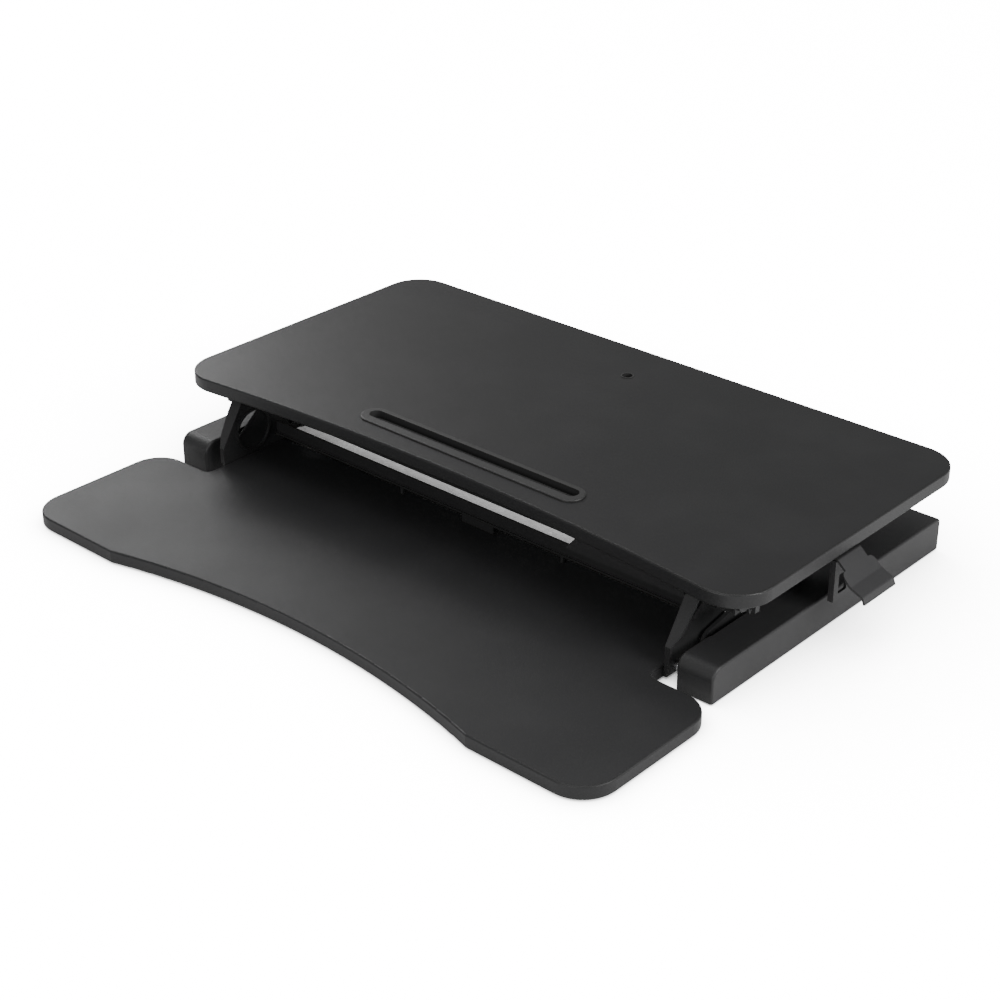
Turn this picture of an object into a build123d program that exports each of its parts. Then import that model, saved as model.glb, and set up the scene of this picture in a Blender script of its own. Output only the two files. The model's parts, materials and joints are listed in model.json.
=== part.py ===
"""Standing desk converter: an X-lift platform with a keyboard tray, in its lowest position.

Millimetres, +X to the right of the person using it, +Y away from them, +Z up.
The origin is on the desk top, under the middle of the whole object.
Pieces that exist on both sides are modelled on the right and mirrored to the left.
"""

from build123d import *
import math
import os

os.makedirs("parts", exist_ok=True)

# ---------------------------------------------------------------- overall sizes
OVERALL_DEPTH = 628.0            # tray front edge to platform back edge
PLATFORM_WIDTH = 806.0
PLATFORM_TOP = 112.0             # lowest height of the work surface
PLATFORM_THICKNESS = 16.0
TRAY_WIDTH = 808.0
TRAY_THICKNESS = 15.0
TRAY_CLEARANCE = 2.0             # desk to underside of the tray

FRONT = -OVERALL_DEPTH / 2
BACK = OVERALL_DEPTH / 2
PLATFORM_BOTTOM = PLATFORM_TOP - PLATFORM_THICKNESS
TRAY_TOP = TRAY_CLEARANCE + TRAY_THICKNESS

# ---------------------------------------------------------------- work surface
PLATFORM_DEPTH = 408.0           # at the front corners
PLATFORM_HOLLOW = 25.5           # how far the front edge curves in at the middle
PLATFORM_CORNER = 45.0
EDGE_ROUND = 2.0
REAR_HOLE_RADIUS = 6.0
REAR_HOLE_SETBACK = 70.7         # hole centre from the back edge

SLOT_LENGTH = 314.0              # tablet slot insert, outside
SLOT_WIDTH = 34.0
SLOT_SETBACK = 341.0             # middle of the insert from the back edge
SLOT_DEPTH = 9.0
SLOT_FLANGE = 2.0
SLOT_LIP = 2.0                   # front lip above the platform
GROOVE_LENGTH = 298.0
GROOVE_WIDTH = 16.5
GROOVE_OFFSET = 2.25             # groove centre behind the insert centre
INSERT_FIT = 0.2                 # gap round the insert in its pocket

# ---------------------------------------------------------------- keyboard tray
TRAY_DEPTH = 312.0
TRAY_WING_DEPTH = 191.0          # full-width part
TRAY_NECK_WIDTH = 641.0          # part between the rails
TRAY_CORNER = 40.0
TRAY_REAR_CORNER = 36.0
TRAY_NECK_CORNER = 8.0
TRAY_HOLLOW = 35.3               # depth of the curved front
TRAY_HOLLOW_RADIUS = 960.0

# ---------------------------------------------------------------- base rails
RAIL_OUTER_X = 385.0
RAIL_INNER_X = 342.0
RAIL_FRONT_SETBACK = 420.0
RAIL_REAR_SETBACK = 8.0
RAIL_HEIGHT = 39.5
RAIL_BOTTOM = 2.0
RAIL_WALL = 2.0
RAIL_NOSE_RADIUS = 14.0
RAIL_TAIL_RADIUS = 6.0
RAIL_EDGE_ROUND = 2.5
RAIL_END_DEPTH = 9.0             # solid-looking end of the cover
RAIL_TOP_INNER_X = 345.0
RAIL_WALL_BACK_SETBACK = 370.0   # the inner side is closed in front of this, clear of the hinge

CHANNEL_WALL = 2.0
CHANNEL_INNER_HEIGHT = 24.0
CHANNEL_END_GAP = 1.0
UPPER_CHANNEL_WIDTH = 22.0
UPPER_CHANNEL_FRONT_SETBACK = 362.0
UPPER_CHANNEL_REAR_SETBACK = 11.0

# ---------------------------------------------------------------- base cross bars and feet
BAR_THICKNESS = 5.0
BAR_WIDTH = 28.0
BAR_FRONT_SETBACK = 312.0
BAR_REAR_SETBACK = 48.0
BAR_INSET = 4.0
FOOT_LENGTH = 40.0
FOOT_WIDTH = 22.0

# ---------------------------------------------------------------- scissor lift
ARM_LENGTH = 330.0               # pivot to roller
ARM_HEIGHT = 26.0
ARM_THICKNESS = 4.0
ARM_A_X = 331.0                  # centre of the inner arm plates
ARM_B_X = 338.0                  # centre of the outer arm plates
ARM_SLOT_LENGTH = 62.0
ARM_SLOT_WIDTH = 12.0
PIVOT_SETBACK = 352.0            # front hinge line from the back edge
LOWER_PIVOT_Z = 22.0
PIN_RADIUS = 5.0
PIN_FIT = 0.05                   # running clearance on the radius
HEAD_RADIUS = 8.0
HEAD_THICKNESS = 2.0
ROLLER_WIDTH = 12.0
ROLLER_GAP = 0.3                 # roller to each flange of its channel
TUBE_RADIUS = 10.0
TUBE_WALL = 1.6
TUBE_SETBACK = 40.0              # cross tube from the roller axle, along the arm

# ---------------------------------------------------------------- synchro shaft
SHAFT_RADIUS = 8.0
QUADRANT_RADIUS = 20.0
QUADRANT_THICKNESS = 4.0
QUADRANT_TEETH = 10
QUADRANT_FROM = -57.0            # toothed arc, degrees from the arm direction
QUADRANT_TO = 30.0
TOOTH_PITCH = 7.7                # degrees
TOOTH_NOTCH_RADIUS = 1.2
CRANK_RADIUS = 24.0
CRANK_ANGLE = 25.0               # below the arm direction, degrees
CRANK_THICKNESS = 5.0

# ---------------------------------------------------------------- gas springs
SPRING_XS = (176.0, 258.0)
SPRING_ANCHOR_BACK = 200.0       # anchor behind the shaft
SPRING_ANCHOR_UP = 6.0           # anchor above the shaft
SPRING_TUBE_RADIUS = 8.5
SPRING_TUBE_LENGTH = 122.0
SPRING_BORE_RADIUS = 7.0
SPRING_BORE_LENGTH = 60.0
SPRING_ROD_RADIUS = 4.0
SPRING_ROD_LENGTH = 96.0
EYE_RADIUS = 7.0
EYE_WIDTH = 8.0
EYE_PIN_RADIUS = 3.0

# ---------------------------------------------------------------- tray hangers
HANGER_THICKNESS = 3.5
HANGER_FRONT_SETBACK = 411.0
HANGER_TOP_FRONT_SETBACK = 373.0
HANGER_REAR_SETBACK = 318.0
HANGER_KNEE_Z = 37.0             # front edge is upright below this
HANGER_BOTTOM = 3.0
HANGER_FLANGE_WIDE = 12.0         # front flange, folded outward
HANGER_TOP_FLANGE = 15.0         # screwed to the board, folded inward
HANGER_FLANGE_NARROW = 3.0
HANGER_HOLE_RADIUS = 26.0
HANGER_HOLE_SETBACK = 364.0
HANGER_HOLE_Z = 46.0
HANGER_WEB_ANGLE = 38.0          # slope of the web across the round opening
HANGER_WEB_OFFSET = 11.0         # web edge from the centre of the opening
HANGER_RIB = 2.5

BEAM_SETBACK = 328.0
BEAM_BOTTOM = 27.5
BEAM_TOP = 44.0
BEAM_THICKNESS = 2.0
BEAM_FLANGE = 8.0
BEAM_LIP = 2.0                   # how far the lower flange stands out in front
BEAM_FOOT_WIDTH = 46.0
STUD_X = 118.0                   # studs between tray and beam
STUD_RADIUS = 2.5

# ---------------------------------------------------------------- cover over the spring cranks
COVER_SETBACK = 366.0
COVER_INNER_X = 156.0
COVER_OUTER_X = 312.0
COVER_BOTTOM = 66.0
COVER_THICKNESS = 1.5
COVER_END_ANGLE = 50.0           # slope of the slanted ends, degrees
COVER_FLANGE = 12.0

# ---------------------------------------------------------------- release levers
LEVER_AXIS_X = 378.0
LEVER_AXIS_DROP = 9.0            # below the platform
LEVER_SHAFT_RADIUS = 4.0
LEVER_THICKNESS = 2.5
LEVER_FRONT_SETBACK = 241.0
LEVER_NECK_WIDTH = 40.0
LEVER_PADDLE_FRONT_SETBACK = 249.0
LEVER_PADDLE_WIDTH = 56.0
LEVER_NECK_X = 401.0             # where the plate bends down
LEVER_STEP_X = 423.0
LEVER_STEP_Z = 71.0
LEVER_TIP_X = 437.0
LEVER_TIP_Z = 65.0
LEVER_LIP_X = 440.0
LEVER_LIP_Z = 58.0
LEVER_NECK_Z = 90.5
LEVER_HUB_RADIUS = 6.5
PAWL_THICKNESS = 3.0
PAWL_ANGLE = -46.0               # direction from the shaft to the pawl tooth, degrees
PAWL_GAP = 0.6                   # pawl tooth drawn just clear of the quadrant
PAWL_WIDTH = 7.0
PAWL_RADIUS_SHARE = 0.9
LOOP_X = 399.5                   # finger tab under the paddle
LOOP_THICKNESS = 3.0
LOOP_FRONT_SETBACK = 243.0
LOOP_WIDTH = 31.0
LOOP_BOTTOM = 43.0
LOOP_FLANGE = 5.0
LOOP_WINDOW_WIDTH = 15.0
LOOP_WINDOW_BOTTOM = 50.0
LOOP_WINDOW_TOP = 72.0
BEARING_HALF = 6.0
BEARING_LENGTH = 10.0
RETURN_SPRING_RADIUS = 5.5
RETURN_SPRING_WIRE = 0.8
RETURN_SPRING_PITCH = 4.0

SCREW_HEAD_RADIUS = 4.5
SCREW_HEAD_HEIGHT = 2.5
SCREW_RADIUS = 2.0
SCREW_LENGTH = 10.0


def from_back(setback):
    """Y of a line that lies this far in front of the platform's back edge."""
    return BACK - setback


# ---------------------------------------------------------------- derived places
channel_height = CHANNEL_INNER_HEIGHT + 2 * CHANNEL_WALL
upper_pivot_z = PLATFORM_BOTTOM - channel_height / 2
lower_channel_bottom = LOWER_PIVOT_Z - channel_height / 2
pivot_y = from_back(PIVOT_SETBACK)
arm_rise = upper_pivot_z - LOWER_PIVOT_Z
rest_angle = math.degrees(math.asin(arm_rise / ARM_LENGTH))
arm_reach = math.sqrt(ARM_LENGTH**2 - arm_rise**2)
roller_y = pivot_y + arm_reach
middle_y = pivot_y + arm_reach / 2
middle_z = LOWER_PIVOT_Z + arm_rise / 2

rail_front_y = from_back(RAIL_FRONT_SETBACK)
rail_rear_y = from_back(RAIL_REAR_SETBACK)
channel_inner_x = RAIL_INNER_X + 2 * CHANNEL_END_GAP
channel_outer_x = RAIL_OUTER_X - RAIL_WALL
channel_front_y = rail_front_y + RAIL_WALL + CHANNEL_END_GAP
channel_rear_y = rail_rear_y - RAIL_WALL - CHANNEL_END_GAP
roller_radius = CHANNEL_INNER_HEIGHT / 2 - ROLLER_GAP
roller_inner_x = channel_inner_x + 2.0
roller_outer_x = roller_inner_x + ROLLER_WIDTH
upper_channel_outer_x = channel_inner_x + UPPER_CHANNEL_WIDTH
lever_axis_z = PLATFORM_BOTTOM - LEVER_AXIS_DROP


def plate_yz(x_low, thickness):
    """Plane parallel to YZ whose sketch X is world Y and sketch Y is world Z."""
    return Plane(origin=(x_low + thickness, 0, 0), x_dir=(0, 1, 0), z_dir=(1, 0, 0))


def finish(part, name):
    """Label a piece and write its STEP file."""
    part.label = name
    export_step(part, f"parts/{name}.step")


def finish_pair(part, name):
    """Write the right-hand piece and its mirror image on the left."""
    finish(part, f"{name}_right")
    finish(mirror(part, about=Plane.YZ), f"{name}_left")


# ================================================================ platform board
with BuildPart() as platform_board:
    with BuildSketch(Plane.XY.offset(PLATFORM_BOTTOM)):
        with BuildLine():
            half = PLATFORM_WIDTH / 2
            front_corner_y = BACK - PLATFORM_DEPTH
            ThreePointArc(
                (-half, front_corner_y),
                (0, front_corner_y + PLATFORM_HOLLOW),
                (half, front_corner_y),
            )
            Polyline((half, front_corner_y), (half, BACK), (-half, BACK), (-half, front_corner_y))
        make_face()
    extrude(amount=PLATFORM_THICKNESS)
    fillet(platform_board.edges().filter_by(Axis.Z), radius=PLATFORM_CORNER)
    fillet(platform_board.faces().sort_by(Axis.Z)[-1].edges(), radius=EDGE_ROUND)
    fillet(platform_board.faces().sort_by(Axis.Z)[0].edges(), radius=EDGE_ROUND)
    with Locations((0, from_back(REAR_HOLE_SETBACK), PLATFORM_TOP)):
        Hole(radius=REAR_HOLE_RADIUS + 1.0)
    with BuildSketch(Plane.XY.offset(PLATFORM_TOP)):
        with Locations((0, from_back(SLOT_SETBACK))):
            SlotOverall(
                SLOT_LENGTH - 2 * SLOT_FLANGE + 2 * INSERT_FIT,
                SLOT_WIDTH - 2 * SLOT_FLANGE + 2 * INSERT_FIT,
            )
    extrude(amount=-SLOT_DEPTH - INSERT_FIT, mode=Mode.SUBTRACT)
finish(platform_board.part, "platform_board")

# ================================================================ tablet slot insert
with BuildPart() as tablet_slot:
    slot_y = from_back(SLOT_SETBACK)
    slot_floor_z = PLATFORM_TOP - SLOT_DEPTH
    with BuildSketch(Plane.XY.offset(slot_floor_z)):
        with Locations((0, slot_y)):
            SlotOverall(SLOT_LENGTH - 2 * SLOT_FLANGE, SLOT_WIDTH - 2 * SLOT_FLANGE)
    extrude(amount=SLOT_DEPTH)
    with BuildSketch(Plane.XY.offset(PLATFORM_TOP)):
        with Locations((0, slot_y)):
            SlotOverall(SLOT_LENGTH, SLOT_WIDTH)
    extrude(amount=SLOT_LIP)
    top_edges = tablet_slot.faces().sort_by(Axis.Z)[-1].edges()
    fillet(top_edges, radius=SLOT_LIP * 0.7)
    with BuildSketch(Plane.XY.offset(PLATFORM_TOP + SLOT_LIP)):
        with Locations((0, slot_y + GROOVE_OFFSET)):
            SlotOverall(GROOVE_LENGTH, GROOVE_WIDTH)
    extrude(amount=-(SLOT_DEPTH + SLOT_LIP - SLOT_FLANGE), mode=Mode.SUBTRACT)
finish(tablet_slot.part, "tablet_slot")

# ================================================================ rear hole bush
with BuildPart() as rear_grommet:
    grommet_y = from_back(REAR_HOLE_SETBACK)
    with BuildSketch(Plane.XY.offset(PLATFORM_BOTTOM)):
        with Locations((0, grommet_y)):
            Circle(REAR_HOLE_RADIUS + 1.0)
            Circle(REAR_HOLE_RADIUS, mode=Mode.SUBTRACT)
    extrude(amount=PLATFORM_THICKNESS)
    with BuildSketch(Plane.XY.offset(PLATFORM_TOP)):
        with Locations((0, grommet_y)):
            Circle(REAR_HOLE_RADIUS + 1.8)
            Circle(REAR_HOLE_RADIUS, mode=Mode.SUBTRACT)
    extrude(amount=0.5)
finish(rear_grommet.part, "rear_grommet")

# ================================================================ keyboard tray
tray_wing_back = FRONT + TRAY_WING_DEPTH
with BuildPart() as keyboard_tray:
    with BuildSketch(Plane.XY.offset(TRAY_CLEARANCE)) as tray_outline:
        with Locations((0, FRONT + TRAY_WING_DEPTH / 2)):
            Rectangle(TRAY_WIDTH, TRAY_WING_DEPTH)
        fillet(tray_outline.vertices().group_by(Axis.Y)[0], radius=TRAY_CORNER)
        fillet(tray_outline.vertices().group_by(Axis.Y)[-1], radius=TRAY_REAR_CORNER)
        with Locations((0, FRONT + TRAY_DEPTH / 2)):
            Rectangle(TRAY_NECK_WIDTH, TRAY_DEPTH)
        with Locations((0, FRONT + TRAY_HOLLOW - TRAY_HOLLOW_RADIUS)):
            Circle(TRAY_HOLLOW_RADIUS, mode=Mode.SUBTRACT)
    extrude(amount=TRAY_THICKNESS)
    neck_corners = (
        keyboard_tray.edges()
        .filter_by(Axis.Z)
        .filter_by_position(Axis.Y, tray_wing_back - 0.1, tray_wing_back + 0.1)
        .filter_by(lambda edge: abs(abs(edge.center().X) - TRAY_NECK_WIDTH / 2) < 0.1)
    )
    fillet(neck_corners, radius=TRAY_NECK_CORNER)
    fillet(keyboard_tray.faces().sort_by(Axis.Z)[-1].edges(), radius=EDGE_ROUND)
    fillet(keyboard_tray.faces().sort_by(Axis.Z)[0].edges(), radius=EDGE_ROUND)
finish(keyboard_tray.part, "keyboard_tray")

# ================================================================ rail covers
with BuildPart() as rail_cover:
    with BuildSketch(plate_yz(RAIL_INNER_X, 0)) as rail_profile:
        with Locations(((rail_front_y + rail_rear_y) / 2, (RAIL_BOTTOM + RAIL_HEIGHT) / 2)):
            Rectangle(rail_rear_y - rail_front_y, RAIL_HEIGHT - RAIL_BOTTOM)
        top_corners = rail_profile.vertices().group_by(Axis.Y)[-1].sort_by(Axis.X)
        fillet(top_corners[0], radius=RAIL_NOSE_RADIUS)
        fillet(rail_profile.vertices().group_by(Axis.Y)[-1].sort_by(Axis.X)[-1], radius=RAIL_TAIL_RADIUS)
    extrude(amount=RAIL_OUTER_X - RAIL_INNER_X)
    for side_face in (rail_cover.faces().sort_by(Axis.X)[-1], rail_cover.faces().sort_by(Axis.X)[0]):
        upper_edges = side_face.edges().filter_by(lambda edge: edge.center().Z > RAIL_BOTTOM + 1)
        fillet(upper_edges, radius=RAIL_EDGE_ROUND)
    hollow_height = RAIL_HEIGHT - RAIL_WALL - RAIL_BOTTOM
    hollow_front = rail_front_y + RAIL_END_DEPTH
    hollow_back = rail_rear_y - RAIL_WALL
    with BuildSketch(Plane.XY.offset(RAIL_BOTTOM)):
        with Locations(((RAIL_INNER_X + channel_outer_x) / 2, (hollow_front + hollow_back) / 2)):
            Rectangle(channel_outer_x - RAIL_INNER_X, hollow_back - hollow_front)
    extrude(amount=hollow_height, mode=Mode.SUBTRACT)
    closed_back = from_back(RAIL_WALL_BACK_SETBACK)
    with BuildSketch(Plane.XY.offset(RAIL_BOTTOM)):
        with Locations(((RAIL_INNER_X + RAIL_TOP_INNER_X) / 2, (closed_back + hollow_back) / 2)):
            Rectangle(RAIL_TOP_INNER_X - RAIL_INNER_X, hollow_back - closed_back)
    extrude(amount=RAIL_HEIGHT, mode=Mode.SUBTRACT)
    skirt_back = from_back(BAR_FRONT_SETBACK) - CHANNEL_END_GAP
    skirt_width = channel_inner_x - RAIL_INNER_X - ROLLER_GAP
    with BuildSketch(Plane.XY.offset(RAIL_BOTTOM)):
        with Locations((RAIL_INNER_X + skirt_width / 2, (hollow_front + skirt_back) / 2)):
            Rectangle(skirt_width, skirt_back - hollow_front)
    extrude(amount=lower_channel_bottom)
    with BuildSketch(Plane.XY.offset(RAIL_BOTTOM)):
        with Locations((RAIL_INNER_X + skirt_width / 2, (hollow_front + closed_back) / 2)):
            Rectangle(skirt_width, closed_back - hollow_front)
    extrude(amount=hollow_height)
finish_pair(rail_cover.part, "rail_cover")

# ================================================================ channels for the rollers
def roller_channel(x_inner, x_outer, y_front, y_rear, z_bottom):
    """C-section with its open side towards the middle of the desk."""
    with BuildPart() as channel:
        with BuildSketch(Plane.XZ.offset(-y_front)):
            with Locations(((x_inner + x_outer) / 2, z_bottom + channel_height / 2)):
                Rectangle(x_outer - x_inner, channel_height)
            with Locations(((x_inner + x_outer - CHANNEL_WALL) / 2, z_bottom + channel_height / 2)):
                Rectangle(x_outer - x_inner - CHANNEL_WALL, CHANNEL_INNER_HEIGHT, mode=Mode.SUBTRACT)
        extrude(amount=-(y_rear - y_front))
    return channel.part


upper_channel_front_y = from_back(UPPER_CHANNEL_FRONT_SETBACK)
upper_channel_rear_y = from_back(UPPER_CHANNEL_REAR_SETBACK)
base_channel = roller_channel(
    channel_inner_x, channel_outer_x, channel_front_y + RAIL_END_DEPTH - RAIL_WALL, channel_rear_y,
    lower_channel_bottom,
)
platform_channel = roller_channel(
    channel_inner_x, upper_channel_outer_x, upper_channel_front_y, upper_channel_rear_y,
    upper_pivot_z - channel_height / 2,
)


def drill_x(part, y, z, radius, x_low, x_high):
    """Part with a hole along X cut through it between two X values."""
    with BuildPart() as drilled:
        add(part)
        with BuildSketch(plate_yz(x_low, 0)):
            with Locations((y, z)):
                Circle(radius)
        extrude(amount=x_high - x_low, mode=Mode.SUBTRACT)
    return drilled.part


platform_channel = drill_x(
    platform_channel, pivot_y, upper_pivot_z, SHAFT_RADIUS + PIN_FIT,
    upper_channel_outer_x - 2 * CHANNEL_WALL, upper_channel_outer_x + CHANNEL_WALL,
)
finish_pair(base_channel, "base_channel")
finish_pair(platform_channel, "platform_channel")


def pivot_block(y_front, z_axis, x_outer, bore):
    """Block that fills the front end of a channel and carries a hinge pin."""
    with BuildPart() as block:
        with BuildSketch(plate_yz(channel_inner_x, 0)):
            with Locations(((y_front + pivot_y + HEAD_RADIUS * 2) / 2, z_axis)):
                Rectangle(pivot_y + HEAD_RADIUS * 2 - y_front, CHANNEL_INNER_HEIGHT)
            with Locations((pivot_y, z_axis)):
                Circle(bore, mode=Mode.SUBTRACT)
        extrude(amount=x_outer - channel_inner_x)
        fillet(block.edges().filter_by(Axis.X).group_by(Axis.Y)[-1], radius=EDGE_ROUND)
    return block.part


lower_block_outer_x = channel_outer_x - CHANNEL_WALL
upper_block_outer_x = upper_channel_outer_x - CHANNEL_WALL
finish_pair(
    pivot_block(pivot_y - HEAD_RADIUS * 2, LOWER_PIVOT_Z, lower_block_outer_x, PIN_RADIUS + PIN_FIT),
    "lower_pivot_block",
)
finish_pair(
    pivot_block(upper_channel_front_y, upper_pivot_z, upper_block_outer_x, SHAFT_RADIUS + PIN_FIT),
    "upper_pivot_block",
)

# ================================================================ base cross bars and feet
bar_bottom = lower_channel_bottom - BAR_THICKNESS
bar_half_length = channel_outer_x - BAR_INSET

with BuildPart() as base_cross_bars:
    for bar_setback in (BAR_FRONT_SETBACK, BAR_REAR_SETBACK):
        with BuildSketch(Plane.XY.offset(bar_bottom)):
            with Locations((0, from_back(bar_setback) + BAR_WIDTH / 2)):
                Rectangle(2 * bar_half_length, BAR_WIDTH)
        extrude(amount=BAR_THICKNESS)
    fillet(base_cross_bars.edges().filter_by(Axis.Z), radius=EDGE_ROUND)
finish(base_cross_bars.part, "base_cross_bars")

foot_x = (channel_inner_x + channel_outer_x) / 2
foot_ys = (channel_front_y + FOOT_LENGTH, from_back(BAR_FRONT_SETBACK) + BAR_WIDTH + FOOT_LENGTH,
           from_back(BAR_REAR_SETBACK) - FOOT_LENGTH)
with BuildPart() as rubber_feet:
    for foot_y in foot_ys:
        for side in (-1, 1):
            with BuildSketch(Plane.XY):
                with Locations((side * foot_x, foot_y)):
                    SlotOverall(FOOT_LENGTH, FOOT_WIDTH, rotation=90)
            extrude(amount=lower_channel_bottom)
    fillet(rubber_feet.faces().filter_by_position(Axis.Z, -0.1, 0.1).edges(), radius=EDGE_ROUND / 2)
finish(rubber_feet.part, "rubber_feet")

# ================================================================ scissor arms
def scissor_arm(x_middle, front_bore, rear_bore):
    """Arm plate lying along +Y from the front pivot, before it is turned to its angle."""
    with BuildPart() as arm:
        with BuildSketch(plate_yz(x_middle - ARM_THICKNESS / 2, 0)):
            with Locations((ARM_LENGTH / 2, 0)):
                SlotCenterToCenter(ARM_LENGTH, ARM_HEIGHT)
                Circle(PIN_RADIUS + PIN_FIT, mode=Mode.SUBTRACT)
            with Locations((0, 0)):
                Circle(front_bore, mode=Mode.SUBTRACT)
            with Locations((ARM_LENGTH, 0)):
                Circle(rear_bore, mode=Mode.SUBTRACT)
            with Locations((ARM_LENGTH / 4, 0), (ARM_LENGTH * 3 / 4 - TUBE_SETBACK / 2, 0)):
                SlotOverall(ARM_SLOT_LENGTH, ARM_SLOT_WIDTH, mode=Mode.SUBTRACT)
            with Locations((ARM_LENGTH - TUBE_SETBACK, 0)):
                Circle(TUBE_RADIUS, mode=Mode.SUBTRACT)
        extrude(amount=ARM_THICKNESS)
    return arm.part


def turn_about_x(part, y, z, degrees, x=0):
    """Part made round (0, 0) of the YZ plane, turned and set down at (y, z)."""
    return part.moved(Location((x, y, z), (degrees, 0, 0)))


def arm_point(front_z, degrees, along, across=0.0):
    """World (y, z) of a point given along and across an arm that starts at the front pivot line."""
    slope = math.radians(degrees)
    y = pivot_y + along * math.cos(slope) - across * math.sin(slope)
    z = front_z + along * math.sin(slope) + across * math.cos(slope)
    return y, z


arm_a = turn_about_x(
    scissor_arm(ARM_A_X, PIN_RADIUS, PIN_RADIUS), pivot_y, LOWER_PIVOT_Z, rest_angle
)
arm_b = turn_about_x(
    scissor_arm(ARM_B_X, SHAFT_RADIUS, PIN_RADIUS), pivot_y, upper_pivot_z, -rest_angle
)
finish_pair(arm_a, "lift_arm_inner")
finish_pair(arm_b, "lift_arm_outer")

# ================================================================ cross tubes, pins and rollers
def cross_tube(half_length, middle):
    """Round tube across the desk, open at both ends."""
    with BuildPart() as tube:
        with BuildSketch(plate_yz(-half_length, 0)):
            with Locations(middle):
                Circle(TUBE_RADIUS)
                Circle(TUBE_RADIUS - TUBE_WALL, mode=Mode.SUBTRACT)
        extrude(amount=2 * half_length)
    return tube.part


def turned_pin(middle, steps):
    """Round pin along X built from (radius, from x, to x) steps."""
    with BuildPart() as pin:
        for radius, x_low, x_high in steps:
            with BuildSketch(plate_yz(x_low, 0)):
                with Locations(middle):
                    Circle(radius)
            extrude(amount=x_high - x_low)
    return pin.part


def finish_mirrored_group(part, name):
    """Write a right-hand piece and its mirror image as one node."""
    finish(part + mirror(part, about=Plane.YZ), name)


tube_along = ARM_LENGTH - TUBE_SETBACK
a_inner_x = ARM_A_X - ARM_THICKNESS / 2
a_outer_x = ARM_A_X + ARM_THICKNESS / 2
b_inner_x = ARM_B_X - ARM_THICKNESS / 2
b_outer_x = ARM_B_X + ARM_THICKNESS / 2
finish(cross_tube(a_outer_x, arm_point(LOWER_PIVOT_Z, rest_angle, tube_along)), "inner_cross_tube")
finish(cross_tube(b_outer_x, arm_point(upper_pivot_z, -rest_angle, tube_along)), "outer_cross_tube")

lower_hinge = (pivot_y, LOWER_PIVOT_Z)
finish_mirrored_group(
    turned_pin(lower_hinge, (
        (HEAD_RADIUS, a_inner_x - HEAD_THICKNESS, a_inner_x),
        (PIN_RADIUS, a_inner_x, lower_block_outer_x - CHANNEL_END_GAP),
    )),
    "lower_hinge_pins",
)
finish_mirrored_group(
    turned_pin((middle_y, middle_z), (
        (HEAD_RADIUS, a_inner_x - HEAD_THICKNESS, a_inner_x),
        (PIN_RADIUS, a_inner_x, b_outer_x),
        (HEAD_RADIUS, b_outer_x + CHANNEL_END_GAP / 4, b_outer_x + HEAD_THICKNESS * 3 / 4),
        (PIN_RADIUS, b_outer_x, b_outer_x + HEAD_THICKNESS / 2),
    )),
    "centre_pins",
)
with BuildPart() as centre_washer:
    with BuildSketch(plate_yz(a_outer_x, 0)):
        with Locations((middle_y, middle_z)):
            Circle(HEAD_RADIUS * 1.5)
            Circle(PIN_RADIUS + PIN_FIT, mode=Mode.SUBTRACT)
    extrude(amount=b_inner_x - a_outer_x - ROLLER_GAP)
finish_mirrored_group(centre_washer.part, "centre_washers")


def roller_axle(z_axis, arm_inner_x, arm_outer_x):
    """Headed axle through the end of an arm, with a collar and an end cap for the roller."""
    return turned_pin((roller_y, z_axis), (
        (HEAD_RADIUS, arm_inner_x - HEAD_THICKNESS, arm_inner_x),
        (PIN_RADIUS, arm_inner_x, roller_outer_x + ROLLER_GAP),
        (HEAD_RADIUS, arm_outer_x, roller_inner_x - ROLLER_GAP),
        (HEAD_RADIUS, roller_outer_x + ROLLER_GAP, roller_outer_x + ROLLER_GAP + HEAD_THICKNESS),
    ))


finish_mirrored_group(roller_axle(upper_pivot_z, a_inner_x, a_outer_x), "upper_roller_axles")
finish_mirrored_group(roller_axle(LOWER_PIVOT_Z, b_inner_x, b_outer_x), "lower_roller_axles")


def lift_roller(z_axis):
    """Plastic roller that runs inside a channel."""
    with BuildPart() as roller:
        with BuildSketch(plate_yz(roller_inner_x, 0)):
            with Locations((roller_y, z_axis)):
                Circle(roller_radius)
        extrude(amount=ROLLER_WIDTH)
        fillet(roller.edges(), radius=EDGE_ROUND / 2)
        with BuildSketch(plate_yz(roller_inner_x, 0)):
            with Locations((roller_y, z_axis)):
                Circle(PIN_RADIUS + PIN_FIT)
        extrude(amount=ROLLER_WIDTH, mode=Mode.SUBTRACT)
    return roller.part


finish_pair(lift_roller(upper_pivot_z), "upper_roller")
finish_pair(lift_roller(LOWER_PIVOT_Z), "lower_roller")

# ================================================================ synchro shaft and its fittings
quadrant_inner_x = upper_channel_outer_x + CHANNEL_END_GAP
quadrant_outer_x = quadrant_inner_x + QUADRANT_THICKNESS
shaft_end_x = quadrant_outer_x + CHANNEL_END_GAP
hub_radius = SHAFT_RADIUS * 1.45
shaft_axis = (pivot_y, upper_pivot_z)
with BuildPart() as synchro_shaft:
    with BuildSketch(plate_yz(-shaft_end_x, 0)):
        with Locations(shaft_axis):
            Circle(SHAFT_RADIUS)
            Circle(SHAFT_RADIUS - CHANNEL_WALL, mode=Mode.SUBTRACT)
    extrude(amount=2 * shaft_end_x)
finish(synchro_shaft.part, "synchro_shaft")

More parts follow.
